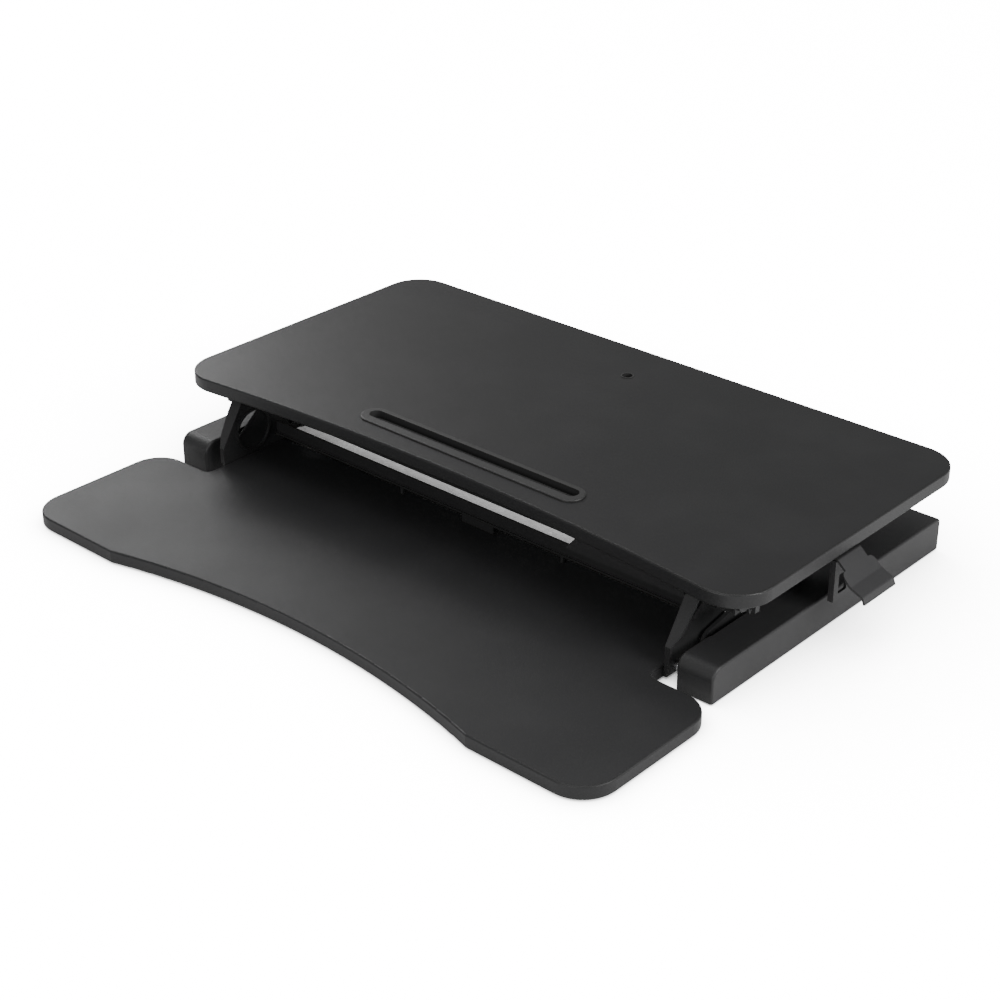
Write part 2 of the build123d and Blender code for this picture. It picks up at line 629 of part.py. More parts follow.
with BuildPart() as quadrant:
    with BuildSketch(plate_yz(quadrant_inner_x, 0)):
        with BuildLine():
            rim = CenterArc((0, 0), QUADRANT_RADIUS, QUADRANT_FROM, QUADRANT_TO - QUADRANT_FROM)
            Line((0, 0), rim @ 0)
            Line(rim @ 1, (0, 0))
        make_face()
        Circle(hub_radius)
        Circle(SHAFT_RADIUS, mode=Mode.SUBTRACT)
        tooth_from = (QUADRANT_FROM + QUADRANT_TO - TOOTH_PITCH * (QUADRANT_TEETH - 1)) / 2
        for tooth in range(QUADRANT_TEETH):
            with PolarLocations(QUADRANT_RADIUS, 1, start_angle=tooth_from + tooth * TOOTH_PITCH):
                Circle(TOOTH_NOTCH_RADIUS, mode=Mode.SUBTRACT)
    extrude(amount=QUADRANT_THICKNESS)
finish_pair(turn_about_x(quadrant.part, pivot_y, upper_pivot_z, -rest_angle), "lock_quadrant")

crank_pin = arm_point(
    upper_pivot_z, -rest_angle - CRANK_ANGLE, CRANK_RADIUS
)
eye_half = EYE_WIDTH / 2 + ROLLER_GAP
with BuildPart() as spring_cranks:
    for spring_x in SPRING_XS:
        plate_x = spring_x - eye_half - CRANK_THICKNESS
        with BuildSketch(plate_yz(plate_x, 0)):
            with Locations(shaft_axis):
                Circle(hub_radius)
            with Locations(crank_pin):
                Circle(EYE_RADIUS)
            make_hull()
            with Locations(shaft_axis):
                Circle(SHAFT_RADIUS, mode=Mode.SUBTRACT)
        extrude(amount=CRANK_THICKNESS)
        with BuildSketch(plate_yz(spring_x - eye_half, 0)):
            with Locations(crank_pin):
                Circle(EYE_PIN_RADIUS)
        extrude(amount=2 * eye_half)
        with BuildSketch(plate_yz(spring_x + eye_half, 0)):
            with Locations(crank_pin):
                Circle(EYE_PIN_RADIUS * 1.5)
        extrude(amount=HEAD_THICKNESS)
finish(spring_cranks.part, "spring_cranks")

# ================================================================ gas springs
anchor_y = pivot_y + SPRING_ANCHOR_BACK
anchor_z = upper_pivot_z + SPRING_ANCHOR_UP
spring_angle = math.degrees(math.atan2(anchor_z - crank_pin[1], anchor_y - crank_pin[0]))


def spring_eye():
    """Sketch of the eye at the end of a gas spring, round the local origin."""
    with BuildSketch(plate_yz(-EYE_WIDTH / 2, 0), mode=Mode.PRIVATE) as eye:
        Circle(EYE_RADIUS)
        Circle(EYE_PIN_RADIUS + PIN_FIT, mode=Mode.SUBTRACT)
    return eye.sketch


tube_start = EYE_RADIUS * 1.7
with BuildPart() as gas_tube:
    with BuildSketch(Plane.XZ.offset(tube_start)):
        Circle(SPRING_TUBE_RADIUS)
    extrude(amount=SPRING_TUBE_LENGTH)
    fillet(gas_tube.edges(), radius=EDGE_ROUND / 2)
    with BuildSketch(Plane.XZ.offset(EYE_RADIUS - EDGE_ROUND / 2)):
        Circle(SPRING_ROD_RADIUS)
    extrude(amount=tube_start - EYE_RADIUS + EDGE_ROUND)
    with BuildSketch(Plane.XZ.offset(tube_start + SPRING_TUBE_LENGTH)):
        Circle(SPRING_BORE_RADIUS)
    extrude(amount=-SPRING_BORE_LENGTH, mode=Mode.SUBTRACT)
    extrude(spring_eye(), amount=EYE_WIDTH)
with BuildPart() as gas_rod:
    with BuildSketch(Plane.XZ.offset(EDGE_ROUND / 2 - EYE_RADIUS)):
        Circle(SPRING_ROD_RADIUS)
    extrude(amount=EYE_RADIUS - EDGE_ROUND / 2 - SPRING_ROD_LENGTH)
    extrude(spring_eye(), amount=EYE_WIDTH)
for number, spring_x in enumerate(SPRING_XS, start=1):
    placed_tube = turn_about_x(gas_tube.part, anchor_y, anchor_z, spring_angle, x=spring_x)
    placed_rod = turn_about_x(gas_rod.part, *crank_pin, spring_angle, x=spring_x)
    finish(placed_tube, f"gas_spring_tube_{number}")
    finish(placed_rod, f"gas_spring_rod_{number}")

with BuildPart() as spring_anchors:
    for spring_x in SPRING_XS:
        for side in (-1, 1):
            cheek_x = spring_x + side * (eye_half + CHANNEL_WALL / 2)
            with BuildSketch(plate_yz(cheek_x - CHANNEL_WALL / 2, 0)):
                with Locations((anchor_y, anchor_z)):
                    Circle(PLATFORM_BOTTOM - anchor_z)
                with Locations((anchor_y, (anchor_z + PLATFORM_BOTTOM) / 2)):
                    Rectangle(2 * (PLATFORM_BOTTOM - anchor_z), PLATFORM_BOTTOM - anchor_z)
            extrude(amount=CHANNEL_WALL)
            with BuildSketch(Plane.XY.offset(PLATFORM_BOTTOM)):
                with Locations((cheek_x + side * COVER_FLANGE / 2, anchor_y)):
                    Rectangle(COVER_FLANGE, 2 * (PLATFORM_BOTTOM - anchor_z))
            extrude(amount=-CHANNEL_WALL)
        with BuildSketch(plate_yz(spring_x - eye_half, 0)):
            with Locations((anchor_y, anchor_z)):
                Circle(EYE_PIN_RADIUS)
        extrude(amount=2 * eye_half)
finish(spring_anchors.part, "spring_anchors")

# ================================================================ tray hangers and beam
hanger_inner_x = TRAY_NECK_WIDTH / 2
hanger_front_y = from_back(HANGER_FRONT_SETBACK)
hanger_top_front_y = from_back(HANGER_TOP_FRONT_SETBACK)
hanger_rear_y = from_back(HANGER_REAR_SETBACK)
hole_middle = (from_back(HANGER_HOLE_SETBACK), HANGER_HOLE_Z)
web_slope = math.radians(HANGER_WEB_ANGLE)
web_side = HANGER_HOLE_RADIUS * 2
web_shift = web_side / 2 - HANGER_WEB_OFFSET
web_middle = (
    hole_middle[0] + math.sin(web_slope) * web_shift,
    hole_middle[1] - math.cos(web_slope) * web_shift,
)
hanger_outline = (
    (hanger_front_y, HANGER_BOTTOM),
    (hanger_front_y, HANGER_KNEE_Z),
    (hanger_top_front_y, PLATFORM_BOTTOM),
    (hanger_rear_y, PLATFORM_BOTTOM),
    (hanger_rear_y, HANGER_BOTTOM),
)
hanger_outer_x = hanger_inner_x + HANGER_THICKNESS
with BuildPart() as hanger_flange:
    with BuildSketch(plate_yz(hanger_outer_x, 0)):
        with BuildLine():
            Polyline(
                (hanger_front_y, TRAY_TOP),
                (hanger_front_y, HANGER_KNEE_Z),
                (hanger_top_front_y, PLATFORM_BOTTOM),
                (hanger_top_front_y + HANGER_THICKNESS, PLATFORM_BOTTOM),
                (hanger_front_y + HANGER_THICKNESS, HANGER_KNEE_Z - EDGE_ROUND / 2),
                (hanger_front_y + HANGER_THICKNESS, TRAY_TOP),
                close=True,
            )
        make_face()
    extrude(amount=HANGER_FLANGE_WIDE)
    with BuildSketch(Plane.XZ.offset(-hanger_rear_y)):
        with BuildLine():
            Polyline(
                (hanger_outer_x, TRAY_TOP),
                (hanger_outer_x + HANGER_FLANGE_NARROW, TRAY_TOP),
                (hanger_outer_x + HANGER_FLANGE_NARROW, HANGER_KNEE_Z),
                (hanger_outer_x + HANGER_FLANGE_WIDE * 3 / 4, HANGER_KNEE_Z + HANGER_FLANGE_WIDE),
                (hanger_outer_x + HANGER_FLANGE_WIDE, HANGER_KNEE_Z + HANGER_FLANGE_WIDE * 3),
                (hanger_outer_x + HANGER_FLANGE_WIDE, PLATFORM_BOTTOM),
                (hanger_outer_x, PLATFORM_BOTTOM),
                close=True,
            )
        make_face()
    extrude(amount=hanger_rear_y - hanger_front_y, mode=Mode.INTERSECT)
with BuildPart() as tray_hanger:
    with BuildSketch(plate_yz(hanger_inner_x, 0)):
        with BuildLine():
            Polyline(*hanger_outline, close=True)
        make_face()
    extrude(amount=HANGER_THICKNESS)
    with BuildSketch(plate_yz(hanger_inner_x, 0)):
        with Locations(hole_middle):
            Circle(HANGER_HOLE_RADIUS - HANGER_RIB)
    extrude(amount=HANGER_THICKNESS / 2, mode=Mode.SUBTRACT)
    with BuildSketch(plate_yz(hanger_inner_x, 0)):
        with Locations(hole_middle):
            Circle(HANGER_HOLE_RADIUS - HANGER_RIB)
        with Locations(web_middle):
            Rectangle(2 * web_side, web_side, rotation=HANGER_WEB_ANGLE, mode=Mode.SUBTRACT)
    extrude(amount=HANGER_THICKNESS, mode=Mode.SUBTRACT)
    with BuildSketch(plate_yz(hanger_inner_x - HANGER_RIB / 2, 0)):
        with Locations(hole_middle):
            Circle(HANGER_HOLE_RADIUS)
            Circle(HANGER_HOLE_RADIUS - HANGER_RIB, mode=Mode.SUBTRACT)
    extrude(amount=HANGER_RIB / 2)
    add(hanger_flange.part)
    with BuildSketch(Plane.XY.offset(PLATFORM_BOTTOM)):
        with Locations((hanger_inner_x - HANGER_TOP_FLANGE / 2, (hanger_top_front_y + hanger_rear_y) / 2)):
            Rectangle(HANGER_TOP_FLANGE, hanger_rear_y - hanger_top_front_y)
    extrude(amount=-CHANNEL_WALL)
    with BuildSketch(plate_yz(hanger_inner_x - HANGER_TOP_FLANGE, 0)):
        with Locations(shaft_axis):
            Circle(SHAFT_RADIUS + CHANNEL_END_GAP)
    extrude(amount=2 * HANGER_TOP_FLANGE, mode=Mode.SUBTRACT)
finish_pair(tray_hanger.part, "tray_hanger")

beam_front_y = from_back(BEAM_SETBACK)
with BuildPart() as tray_beam:
    with BuildSketch(plate_yz(-hanger_inner_x, 0)):
        with Locations((beam_front_y + BEAM_THICKNESS / 2, (BEAM_BOTTOM + BEAM_TOP) / 2)):
            Rectangle(BEAM_THICKNESS, BEAM_TOP - BEAM_BOTTOM)
        with Locations((beam_front_y + (BEAM_FLANGE - BEAM_LIP) / 2, BEAM_BOTTOM + BEAM_THICKNESS / 2)):
            Rectangle(BEAM_FLANGE + BEAM_LIP, BEAM_THICKNESS)
    extrude(amount=2 * hanger_inner_x)
    with BuildSketch(Plane.XZ.offset(-beam_front_y)):
        with Locations((0, (TRAY_TOP + BEAM_BOTTOM) / 2)):
            Rectangle(BEAM_FOOT_WIDTH, BEAM_BOTTOM - TRAY_TOP)
    extrude(amount=-BEAM_THICKNESS)
    with BuildSketch(Plane.XY.offset(TRAY_TOP)):
        with Locations((0, beam_front_y + BEAM_FLANGE / 2)):
            Rectangle(BEAM_FOOT_WIDTH, BEAM_FLANGE)
    extrude(amount=BEAM_THICKNESS)
finish(tray_beam.part, "tray_beam")

with BuildPart() as tray_stud:
    with BuildSketch(Plane.XY.offset(TRAY_TOP)):
        with Locations((STUD_X, beam_front_y + BEAM_FLANGE / 2)):
            Circle(STUD_RADIUS)
    extrude(amount=BEAM_BOTTOM - TRAY_TOP)
finish_mirrored_group(tray_stud.part, "tray_studs")

tray_middle_z = TRAY_CLEARANCE + TRAY_THICKNESS / 2
with BuildPart() as tray_screws:
    for screw_y in (hanger_front_y + 2 * BEAM_FLANGE, hanger_rear_y - 2 * BEAM_FLANGE):
        with BuildSketch(plate_yz(hanger_outer_x, 0)):
            with Locations((screw_y, tray_middle_z)):
                Circle(SCREW_HEAD_RADIUS)
        extrude(amount=SCREW_HEAD_HEIGHT)
        with BuildSketch(plate_yz(hanger_outer_x, 0)):
            with Locations((screw_y, tray_middle_z)):
                Circle(SCREW_RADIUS)
        extrude(amount=-SCREW_LENGTH)
finish_mirrored_group(tray_screws.part, "tray_screws")

# ================================================================ cover over the spring cranks
cover_front_y = from_back(COVER_SETBACK)
end_run = (PLATFORM_BOTTOM - COVER_BOTTOM) / math.tan(math.radians(COVER_END_ANGLE))
with BuildPart() as spring_cover:
    with BuildSketch(Plane.XZ.offset(-cover_front_y)):
        with BuildLine():
            Polyline(
                (COVER_INNER_X, COVER_BOTTOM),
                (COVER_OUTER_X, COVER_BOTTOM),
                (COVER_OUTER_X - end_run, PLATFORM_BOTTOM),
                (COVER_INNER_X + end_run, PLATFORM_BOTTOM),
                close=True,
            )
        make_face()
    extrude(amount=-COVER_THICKNESS)
    with BuildSketch(Plane.XY.offset(PLATFORM_BOTTOM)):
        with Locations(((COVER_INNER_X + COVER_OUTER_X) / 2, cover_front_y - COVER_FLANGE / 2)):
            Rectangle(COVER_OUTER_X - COVER_INNER_X - 2 * end_run, COVER_FLANGE)
    extrude(amount=-COVER_THICKNESS)
finish(spring_cover.part, "spring_cover")

# ================================================================ release levers
lever_axis = (LEVER_AXIS_X, lever_axis_z)
paddle_front_y = from_back(LEVER_PADDLE_FRONT_SETBACK)
neck_front_y = from_back(LEVER_FRONT_SETBACK)
paddle_middle_y = paddle_front_y + LEVER_PADDLE_WIDTH / 2
with BuildPart() as lever_paddle:
    with BuildSketch(Plane.XZ.offset(-paddle_front_y)):
        with BuildLine() as paddle_line:
            FilletPolyline(
                (LEVER_AXIS_X, LEVER_NECK_Z),
                (LEVER_NECK_X, LEVER_NECK_Z),
                (LEVER_STEP_X, LEVER_STEP_Z),
                (LEVER_TIP_X, LEVER_TIP_Z),
                (LEVER_LIP_X, LEVER_LIP_Z),
                radius=EDGE_ROUND,
            )
        trace(paddle_line.wires()[0], line_width=LEVER_THICKNESS)
        with Locations(lever_axis):
            Circle(LEVER_HUB_RADIUS)
            Circle(LEVER_SHAFT_RADIUS, mode=Mode.SUBTRACT)
    extrude(amount=-LEVER_PADDLE_WIDTH)
    with BuildSketch(Plane.XY.offset(LEVER_LIP_Z - 2 * LEVER_THICKNESS)):
        neck_length = LEVER_STEP_X - LEVER_AXIS_X + LEVER_HUB_RADIUS
        with Locations((LEVER_AXIS_X - LEVER_HUB_RADIUS + neck_length / 2, paddle_middle_y)):
            Rectangle(neck_length, LEVER_NECK_WIDTH)
        paddle_length = LEVER_LIP_X + LEVER_THICKNESS - LEVER_NECK_X
        with Locations((LEVER_NECK_X + paddle_length * 3 / 4, paddle_middle_y)):
            RectangleRounded(paddle_length, LEVER_PADDLE_WIDTH, radius=3 * EDGE_ROUND)
    extrude(amount=PLATFORM_BOTTOM - LEVER_LIP_Z + 2 * LEVER_THICKNESS, mode=Mode.INTERSECT)
finish_pair(lever_paddle.part, "lever_paddle")

loop_front_y = from_back(LOOP_FRONT_SETBACK)
loop_top_z = LEVER_NECK_Z - LEVER_THICKNESS / 2
with BuildPart() as lever_tab:
    with BuildSketch(plate_yz(LOOP_X - LOOP_THICKNESS / 2, 0)) as tab_outline:
        with Locations((loop_front_y + LOOP_WIDTH / 2, (LOOP_BOTTOM + loop_top_z) / 2)):
            Rectangle(LOOP_WIDTH, loop_top_z - LOOP_BOTTOM)
        fillet(tab_outline.vertices().group_by(Axis.Y)[-1].sort_by(Axis.X)[-1], radius=2 * EDGE_ROUND)
    extrude(amount=LOOP_THICKNESS)
    with BuildSketch(plate_yz(LOOP_X - LOOP_THICKNESS / 2, 0)):
        with Locations((loop_front_y + LOOP_WIDTH / 2, (LOOP_WINDOW_BOTTOM + LOOP_WINDOW_TOP) / 2)):
            RectangleRounded(LOOP_WINDOW_WIDTH, LOOP_WINDOW_TOP - LOOP_WINDOW_BOTTOM, radius=EDGE_ROUND)
    extrude(amount=LOOP_THICKNESS, mode=Mode.SUBTRACT)
    with BuildSketch(Plane.XZ.offset(-loop_front_y)):
        with Locations((LOOP_X - LOOP_FLANGE / 2, (LOOP_BOTTOM + loop_top_z) / 2)):
            Rectangle(LOOP_FLANGE, loop_top_z - LOOP_BOTTOM)
    extrude(amount=-LOOP_THICKNESS)
finish_pair(lever_tab.part, "lever_tab")

pawl_y = pivot_y + QUADRANT_RADIUS * math.cos(math.radians(PAWL_ANGLE)) * PAWL_RADIUS_SHARE
pawl_tooth_z = upper_pivot_z + QUADRANT_RADIUS * math.sin(math.radians(PAWL_ANGLE)) * PAWL_RADIUS_SHARE
pawl_inner_x = quadrant_outer_x + 4 * PAWL_GAP
with BuildPart() as lock_pawl:
    with BuildSketch(Plane.XZ.offset(-(pawl_y - PAWL_WIDTH / 2))):
        with Locations((pawl_inner_x + PAWL_THICKNESS / 2, (lever_axis_z + pawl_tooth_z) / 2)):
            Rectangle(PAWL_THICKNESS, lever_axis_z - pawl_tooth_z + PAWL_WIDTH)
        with Locations(lever_axis):
            Circle(LEVER_HUB_RADIUS - PAWL_GAP)
            Circle(LEVER_SHAFT_RADIUS, mode=Mode.SUBTRACT)
    extrude(amount=-PAWL_WIDTH)
    with BuildSketch(plate_yz(quadrant_outer_x + PAWL_GAP, 0)):
        with Locations((pawl_y, pawl_tooth_z)):
            Circle(TOOTH_NOTCH_RADIUS)
    extrude(amount=pawl_inner_x - quadrant_outer_x)
finish_pair(lock_pawl.part, "lock_pawl")


def along_y(middle, radius, y_low, y_high):
    """Round bar along Y."""
    with BuildPart() as bar:
        with BuildSketch(Plane.XZ.offset(-y_low)):
            with Locations(middle):
                Circle(radius)
        extrude(amount=y_low - y_high)
    return bar.part


release_front_y = pawl_y - PAWL_WIDTH
release_rear_y = paddle_front_y + LEVER_PADDLE_WIDTH + BEARING_LENGTH
finish_pair(along_y(lever_axis, LEVER_SHAFT_RADIUS, release_front_y, release_rear_y), "lever_shaft")

bearing_ys = (pawl_y + PAWL_WIDTH, neck_front_y - BEARING_LENGTH * 2, release_rear_y - BEARING_LENGTH)
with BuildPart() as lever_bearings:
    for bearing_y in bearing_ys:
        with BuildSketch(Plane.XZ.offset(-bearing_y)):
            with Locations((LEVER_AXIS_X, (lever_axis_z + PLATFORM_BOTTOM) / 2)):
                Rectangle(2 * BEARING_HALF, PLATFORM_BOTTOM - lever_axis_z)
            with Locations(lever_axis):
                Circle(BEARING_HALF)
                Circle(LEVER_SHAFT_RADIUS + PIN_FIT, mode=Mode.SUBTRACT)
        extrude(amount=-BEARING_LENGTH)
finish_pair(lever_bearings.part, "lever_bearings")

spring_front_y = bearing_ys[0] + BEARING_LENGTH + CHANNEL_END_GAP
spring_rear_y = bearing_ys[1] - CHANNEL_END_GAP
with BuildPart() as return_spring:
    with BuildLine():
        coil = Helix(
            pitch=RETURN_SPRING_PITCH,
            height=spring_rear_y - spring_front_y,
            radius=RETURN_SPRING_RADIUS,
            center=(0, spring_front_y, 0),
            direction=(0, 1, 0),
        )
    with BuildSketch(Plane(origin=coil @ 0, z_dir=coil % 0)):
        Circle(RETURN_SPRING_WIRE)
    sweep()
finish_pair(return_spring.part.moved(Location((LEVER_AXIS_X, 0, lever_axis_z))), "lever_return_spring")

# ================================================================ screws
def screws_up(places, flange_bottom, length):
    """Group of screws driven upward, each with its head under a flange."""
    with BuildPart() as screws:
        for place in places:
            with BuildSketch(Plane.XY.offset(flange_bottom)):
                with Locations(place):
                    Circle(SCREW_HEAD_RADIUS)
            extrude(amount=-SCREW_HEAD_HEIGHT)
            with BuildSketch(Plane.XY.offset(flange_bottom)):
                with Locations(place):
                    Circle(SCREW_RADIUS)
            extrude(amount=length)
    return screws.part


hanger_screw_x = hanger_inner_x - HANGER_TOP_FLANGE / 2
hanger_screw_ys = (hanger_rear_y - COVER_FLANGE, hanger_top_front_y + COVER_FLANGE)
hanger_places = [(side * hanger_screw_x, y) for y in hanger_screw_ys for side in (-1, 1)]
cover_screw_xs = (COVER_INNER_X + 2 * end_run, COVER_OUTER_X - 2 * end_run)
cover_places = [(x, cover_front_y - COVER_FLANGE / 2) for x in cover_screw_xs]
anchor_run = eye_half + CHANNEL_WALL / 2 + COVER_FLANGE / 2 + CHANNEL_END_GAP
anchor_places = [(x + side * anchor_run, anchor_y) for x in SPRING_XS for side in (-1, 1)]
hanger_screws = screws_up(hanger_places, PLATFORM_BOTTOM - CHANNEL_WALL, SCREW_LENGTH)
cover_screws = screws_up(cover_places, PLATFORM_BOTTOM - COVER_THICKNESS, SCREW_LENGTH)
anchor_screws = screws_up(anchor_places, PLATFORM_BOTTOM - CHANNEL_WALL, SCREW_LENGTH)
finish(hanger_screws + cover_screws + anchor_screws, "platform_screws")
base_places = [(foot_x, from_back(s) + BAR_WIDTH / 2) for s in (BAR_FRONT_SETBACK, BAR_REAR_SETBACK)]
base_screws = screws_up(base_places, bar_bottom, BAR_THICKNESS + CHANNEL_WALL)
finish_mirrored_group(base_screws, "base_screws")
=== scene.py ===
"""Looks of the standing desk converter: finishes for every part and the small dress pieces.

Metres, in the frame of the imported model: +X right, +Y away from the person, +Z up.
"""

import json
import logging
import math
from collections.abc import Callable, Iterable
from dataclasses import dataclass
from enum import Enum

import bpy
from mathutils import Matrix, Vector


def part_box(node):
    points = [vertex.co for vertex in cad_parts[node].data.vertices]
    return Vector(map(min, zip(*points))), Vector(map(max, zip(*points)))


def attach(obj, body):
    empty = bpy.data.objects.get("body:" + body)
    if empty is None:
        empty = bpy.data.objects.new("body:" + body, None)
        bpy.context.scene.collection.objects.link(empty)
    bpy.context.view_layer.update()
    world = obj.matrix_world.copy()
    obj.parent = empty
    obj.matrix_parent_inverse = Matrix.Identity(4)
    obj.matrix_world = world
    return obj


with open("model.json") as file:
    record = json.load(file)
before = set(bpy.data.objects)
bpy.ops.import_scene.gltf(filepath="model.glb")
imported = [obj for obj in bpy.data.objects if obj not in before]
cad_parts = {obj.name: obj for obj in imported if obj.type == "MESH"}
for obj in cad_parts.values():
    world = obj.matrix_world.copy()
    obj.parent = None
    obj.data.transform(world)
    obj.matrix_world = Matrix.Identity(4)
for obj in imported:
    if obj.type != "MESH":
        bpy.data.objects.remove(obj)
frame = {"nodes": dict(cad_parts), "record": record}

LOG = logging.getLogger("desk_converter")
Point = tuple[float, float, float]
Colour = tuple[float, float, float, float]

# sockets of a colour Mix node: its two colours and its result
MIX_FIRST = 6
MIX_SECOND = 7
MIX_RESULT = 2

BUMP_DEPTH = 0.0004
DUST_GREY = 0.35
UPWARD = 0.9  # a face whose normal's Z is above this looks up
SMOOTH_ANGLE = 35.0  # degrees
PLUG_SIDES = 32
TOUCH = 1e-5  # heights closer than this are the same


class Side(Enum):
    """Side of the desk, by the sign of X."""

    RIGHT = 1
    LEFT = -1


class Grain(Enum):
    """Scale of the texture a finish carries, in repeats per metre."""

    LAMINATE = 900.0
    POWDER = 1500.0
    MOULDED = 2200.0
    BRUSHED = 350.0
    RUBBER = 1200.0


def grey(value: float, tint: float = 0.0) -> Colour:
    """Grey with a slight blue tint.

    Args:
        value: linear brightness.
        tint: extra blue as a share of the brightness.

    Returns:
        The colour with full alpha.
    """
    return (value, value, value * (1.0 + tint), 1.0)


# ------------------------------------------------------------------ shared shader groups
class ShaderGroup:
    """A shader node group with named inputs and outputs, built once."""

    def __init__(
        self,
        name: str,
        numbers: dict[str, float],
        colours: Iterable[str],
        outputs: dict[str, str],
    ) -> None:
        """Make the group's sockets.

        Args:
            name: name of the group.
            numbers: number inputs with their usual values.
            colours: names of the colour inputs.
            outputs: output names with their socket types.
        """
        self.tree = bpy.data.node_groups.new(name, "ShaderNodeTree")
        for title, value in numbers.items():
            socket = self.tree.interface.new_socket(title, in_out="INPUT", socket_type="NodeSocketFloat")
            socket.default_value = value
        for title in colours:
            self.tree.interface.new_socket(title, in_out="INPUT", socket_type="NodeSocketColor")
        for title, kind in outputs.items():
            self.tree.interface.new_socket(title, in_out="OUTPUT", socket_type=kind)
        self.inputs = self.tree.nodes.new("NodeGroupInput")
        self.outputs = self.tree.nodes.new("NodeGroupOutput")
        self.place = self.tree.nodes.new("ShaderNodeTexCoord").outputs["Object"]

    def node(self, kind: str, **settings: object) -> bpy.types.Node:
        """Add a node and set its properties.

        Args:
            kind: the node's type.
            settings: its properties by name.

        Returns:
            The node.
        """
        made = self.tree.nodes.new(kind)
        for title, value in settings.items():
            setattr(made, title, value)
        return made

    def join(self, start: bpy.types.NodeSocket, end: bpy.types.NodeSocket) -> None:
        """Link two sockets.

        Args:
            start: an output.
            end: an input.
        """
        self.tree.links.new(start, end)

    def noise(
        self,
        scale: bpy.types.NodeSocket | float,
        detail: float,
        place: bpy.types.NodeSocket | None = None,
    ) -> bpy.types.NodeSocket:
        """Noise over the piece.

        Args:
            scale: repeats per metre, or a socket that gives them.
            detail: octaves of the noise.
            place: coordinates, or None for the piece's own.

        Returns:
            The noise's value socket.
        """
        made = self.node("ShaderNodeTexNoise")
        made.inputs["Detail"].default_value = detail
        self.join(place or self.place, made.inputs["Vector"])
        if isinstance(scale, bpy.types.NodeSocket):
            self.join(scale, made.inputs["Scale"])
        else:
            made.inputs["Scale"].default_value = scale
        return made.outputs["Fac"]

    def band(
        self,
        value: bpy.types.NodeSocket,
        low: float,
        high: float,
        to: tuple[float, float] = (0.0, 1.0),
    ) -> bpy.types.NodeSocket:
        """Map a value's band onto a range, clamped.

        Args:
            value: the socket to map.
            low: value that gives the range's start.
            high: value that gives the range's end.
            to: the range.

        Returns:
            The mapped value socket.
        """
        made = self.node("ShaderNodeMapRange")
        made.inputs["From Min"].default_value = low
        made.inputs["From Max"].default_value = high
        made.inputs["To Min"].default_value = to[0]
        made.inputs["To Max"].default_value = to[1]
        self.join(value, made.inputs["Value"])
        return made.outputs["Result"]

    def combine(
        self,
        operation: str,
        first: bpy.types.NodeSocket,
        second: bpy.types.NodeSocket | float,
    ) -> bpy.types.NodeSocket:
        """Arithmetic on two values.

        Args:
            operation: name of the Math node's operation.
            first: first value.
            second: second value, a socket or a number.

        Returns:
            The result's socket.
        """
        made = self.node("ShaderNodeMath", operation=operation)
        self.join(first, made.inputs[0])
        if isinstance(second, bpy.types.NodeSocket):
            self.join(second, made.inputs[1])
        else:
            made.inputs[1].default_value = second
        return made.outputs[0]

    def mix(
        self,
        share: bpy.types.NodeSocket,
        first: bpy.types.NodeSocket,
        second: bpy.types.NodeSocket,
    ) -> bpy.types.NodeSocket:
        """Blend two colours by a share.

        Args:
            share: share of the second colour.
            first: first colour.
            second: second colour.

        Returns:
            The blended colour's socket.
        """
        made = self.node("ShaderNodeMix", data_type="RGBA")
        self.join(share, made.inputs["Factor"])
        self.join(first, made.inputs[MIX_FIRST])
        self.join(second, made.inputs[MIX_SECOND])
        return made.outputs[MIX_RESULT]


def pebbled_skin() -> ShaderGroup:
    """Fine pebbled skin with slow mottling, as on laminate, powder coat and moulded plastic.

    Returns:
        The group, with outputs Colour, Roughness and Height.
    """
    group = ShaderGroup(
        "pebbled_skin",
        {"Scale": 900.0, "Mottle": 0.3, "Gloss Low": 0.4, "Gloss High": 0.55},
        ("Colour", "Fleck Colour"),
        {"Colour": "NodeSocketColor", "Roughness": "NodeSocketFloat", "Height": "NodeSocketFloat"},
    )
    fine = group.noise(group.inputs.outputs["Scale"], 3.0)
    cells = group.node("ShaderNodeTexVoronoi", feature="SMOOTH_F1")
    group.join(group.place, cells.inputs["Vector"])
    group.join(group.inputs.outputs["Scale"], cells.inputs["Scale"])
    slow = group.noise(9.0, 4.0)
    fleck = group.combine("MULTIPLY", group.band(fine, 0.45, 0.75), group.inputs.outputs["Mottle"])
    cloud = group.combine("MULTIPLY", group.band(slow, 0.35, 0.75), group.inputs.outputs["Mottle"])
    share = group.combine("MAXIMUM", fleck, group.combine("MULTIPLY", cloud, 0.6))
    colour = group.mix(share, group.inputs.outputs["Colour"], group.inputs.outputs["Fleck Colour"])
    group.join(colour, group.outputs.inputs["Colour"])
    spread = group.node("ShaderNodeMapRange")
    both = group.combine("ADD", group.combine("MULTIPLY", fine, 0.5), group.combine("MULTIPLY", slow, 0.5))
    group.join(both, spread.inputs["Value"])
    spread.inputs["From Min"].default_value = 0.35
    spread.inputs["From Max"].default_value = 0.65
    group.join(group.inputs.outputs["Gloss Low"], spread.inputs["To Min"])
    group.join(group.inputs.outputs["Gloss High"], spread.inputs["To Max"])
    group.join(spread.outputs["Result"], group.outputs.inputs["Roughness"])
    bumps = group.combine("MULTIPLY", cells.outputs["Distance"], 0.7)
    height = group.combine("ADD", bumps, group.combine("MULTIPLY", fine, 0.5))
    group.join(height, group.outputs.inputs["Height"])
    return group


